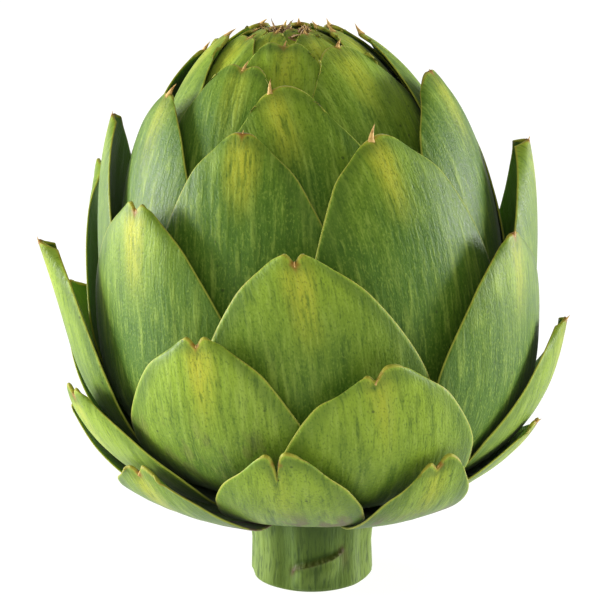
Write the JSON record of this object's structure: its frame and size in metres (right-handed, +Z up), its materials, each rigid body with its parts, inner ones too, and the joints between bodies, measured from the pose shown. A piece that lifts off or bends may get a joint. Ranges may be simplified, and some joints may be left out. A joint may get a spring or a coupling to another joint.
{
  "type": "globe artichoke",
  "caption": "Whole globe artichoke with a short cut stem: overlapping fleshy green bracts in a spiral round a rounded head, standing on the stem's flat cut end.",
  "frame": {"origin": "centre of the stem's cut face, on the surface it stands on", "axes": "+Z up along the stem towards the tip of the head; -Y is the front, the side with the lowest front bract; +X is the right of someone facing the front"},
  "size_m": [0.1138, 0.1116, 0.1248],
  "materials": {
    "bract_green": "waxy matte green skin with a whitish bloom, fine lengthwise fibres and an ochre patch under each tip",
    "stem_green": "matte green plant stem, ridged lengthwise",
    "young_leaf": "matte yellowish green young leaves with dry brown tips"
  },
  "bodies": {
    "root": {"stem_and_heart": "stem_green", "bract_01": "bract_green", "bract_02": "bract_green", "bract_03": "bract_green", "bract_04": "bract_green", "bract_05": "bract_green", "bract_06": "bract_green", "bract_07": "bract_green", "bract_08": "bract_green", "bract_09": "bract_green", "bract_10": "bract_green", "bract_11": "bract_green", "bract_12": "bract_green", "bract_13": "bract_green", "bract_14": "bract_green", "bract_15": "bract_green", "bract_16": "bract_green", "bract_17": "bract_green", "bract_18": "bract_green", "bract_19": "bract_green", "bract_20": "bract_green", "bract_21": "bract_green", "bract_22": "bract_green", "bract_23": "bract_green", "bract_24": "bract_green", "bract_25": "bract_green", "bract_26": "bract_green", "bract_27": "bract_green", "bract_28": "bract_green", "bract_29": "bract_green", "bract_30": "bract_green", "bract_31": "bract_green", "bract_32": "bract_green", "bract_33": "bract_green", "bract_34": "bract_green", "bract_35": "bract_green", "bract_36": "bract_green", "bract_37": "bract_green", "bract_38": "bract_green", "bract_39": "bract_green", "bract_40": "bract_green", "bract_41": "bract_green", "bract_42": "bract_green", "bract_43": "bract_green", "bract_44": "bract_green", "bract_45": "bract_green", "bract_46": "bract_green", "bract_47": "bract_green", "bract_48": "bract_green", "bract_49": "bract_green", "bract_50": "bract_green", "bract_51": "bract_green", "bract_52": "bract_green", "bract_53": "bract_green", "inner_bud": "young_leaf"}
  },
  "joints": []
}
